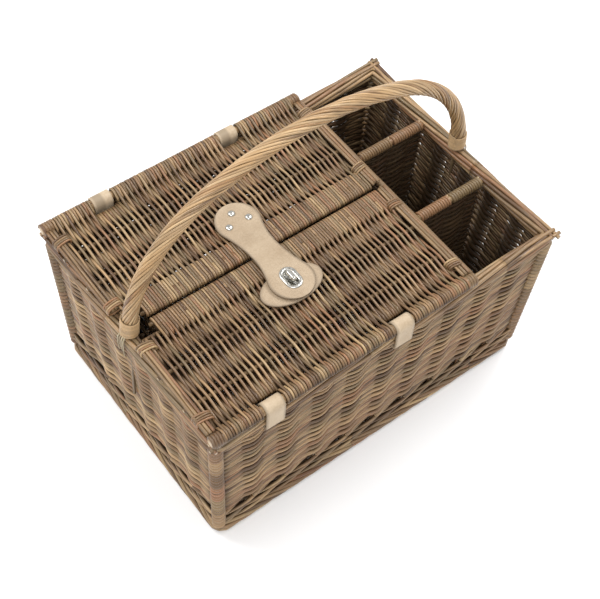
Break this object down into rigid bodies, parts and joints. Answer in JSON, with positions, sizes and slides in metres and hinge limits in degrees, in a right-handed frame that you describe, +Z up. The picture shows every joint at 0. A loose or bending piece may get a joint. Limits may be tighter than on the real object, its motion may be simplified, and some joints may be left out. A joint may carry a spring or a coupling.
{
  "type": "wicker picnic basket",
  "caption": "Rectangular willow picnic basket with a roped arch handle, side-hinged twin lids joined by a leather turn-lock strap, and open bottle compartments.",
  "frame": {"origin": "centre of the underside, on the floor the basket stands on", "axes": "+X along the length towards the bottle compartments, +Y towards the back lid, +Z up"},
  "size_m": [0.496, 0.349, 0.4334],
  "materials": {
    "willow_weave": "weathered antique-wash willow, dry matt with a slight skin sheen",
    "willow_rods": "weathered antique-wash willow, dry matt",
    "handle_willow": "honey-coloured willow, satin from handling",
    "leather": "natural vegetable-tanned strap leather, smooth face",
    "nickel": "bright nickel plate"
  },
  "bodies": {
    "root": {"base_sticks": "willow_rods", "base_weave": "willow_weave", "foot_border": "willow_weave", "bottom_wale": "willow_weave", "front_wall_weave": "willow_weave", "back_wall_weave": "willow_weave", "left_wall_weave": "willow_weave", "right_wall_weave": "willow_weave", "front_wall_stakes": "willow_rods", "back_wall_stakes": "willow_rods", "left_wall_stakes": "willow_rods", "right_wall_stakes": "willow_rods", "corner_post_front_left": "willow_rods", "corner_post_front_right": "willow_rods", "corner_post_back_left": "willow_rods", "corner_post_back_right": "willow_rods", "rim_border": "willow_weave", "hinge_loop_front_left": "leather", "hinge_loop_front_right": "leather", "hinge_loop_back_left": "leather", "hinge_loop_back_right": "leather", "partition_weave": "willow_weave", "partition_stakes": "willow_rods", "partition_rail": "willow_rods", "front_divider_weave": "willow_weave", "front_divider_stakes": "willow_rods", "front_divider_rail": "willow_rods", "back_divider_weave": "willow_weave", "back_divider_stakes": "willow_rods", "back_divider_rail": "willow_rods", "handle_bow": "handle_willow", "handle_roping": "handle_willow", "handle_binding_left": "handle_willow", "handle_binding_right": "handle_willow", "handle_tail_left": "handle_willow", "handle_tail_right": "handle_willow"},
    "front_lid": {"front_lid_weave": "willow_weave", "front_lid_sticks": "willow_rods", "front_lid_rail": "willow_rods", "front_lid_end_rods": "willow_rods", "front_lid_bindings": "willow_weave", "closure_patch": "leather", "lock_plate": "nickel", "lock_backing_plate": "nickel", "lock_screws": "nickel"},
    "back_lid": {"back_lid_weave": "willow_weave", "back_lid_sticks": "willow_rods", "back_lid_rail": "willow_rods", "back_lid_end_rods": "willow_rods", "back_lid_bindings": "willow_weave", "strap_anchor": "leather", "strap_rivets": "nickel", "rivet_burrs": "nickel"},
    "strap": {"strap_tongue": "leather", "eyelet_front": "nickel", "eyelet_back": "nickel"},
    "knob": {"turn_knob": "nickel"}
  },
  "joints": [
    {"name": "front_lid_hinge", "type": "hinge", "parent": "root", "child": "front_lid", "pos_m": [0, -0.1657, 0.2455], "axis": [1, 0, 0], "range_deg": [0, 180], "deforming": ["strap_tongue", "eyelet_front", "eyelet_back"]},
    {"name": "back_lid_hinge", "type": "hinge", "parent": "root", "child": "back_lid", "pos_m": [0, 0.1657, 0.2455], "axis": [-1, 0, 0], "range_deg": [0, 180], "deforming": ["strap_tongue", "eyelet_front", "eyelet_back"]},
    {"name": "strap_lift", "type": "hinge", "parent": "back_lid", "child": "strap", "pos_m": [-0.0575, 0.03, 0.2527], "axis": [-1, 0, 0], "range_deg": [0, 150], "deforming": ["strap_tongue"]},
    {"name": "knob_turn", "type": "hinge", "parent": "front_lid", "child": "knob", "pos_m": [-0.0575, -0.053, 0.2582], "axis": [0, 0, 1], "range_deg": [0, 90]}
  ]
}
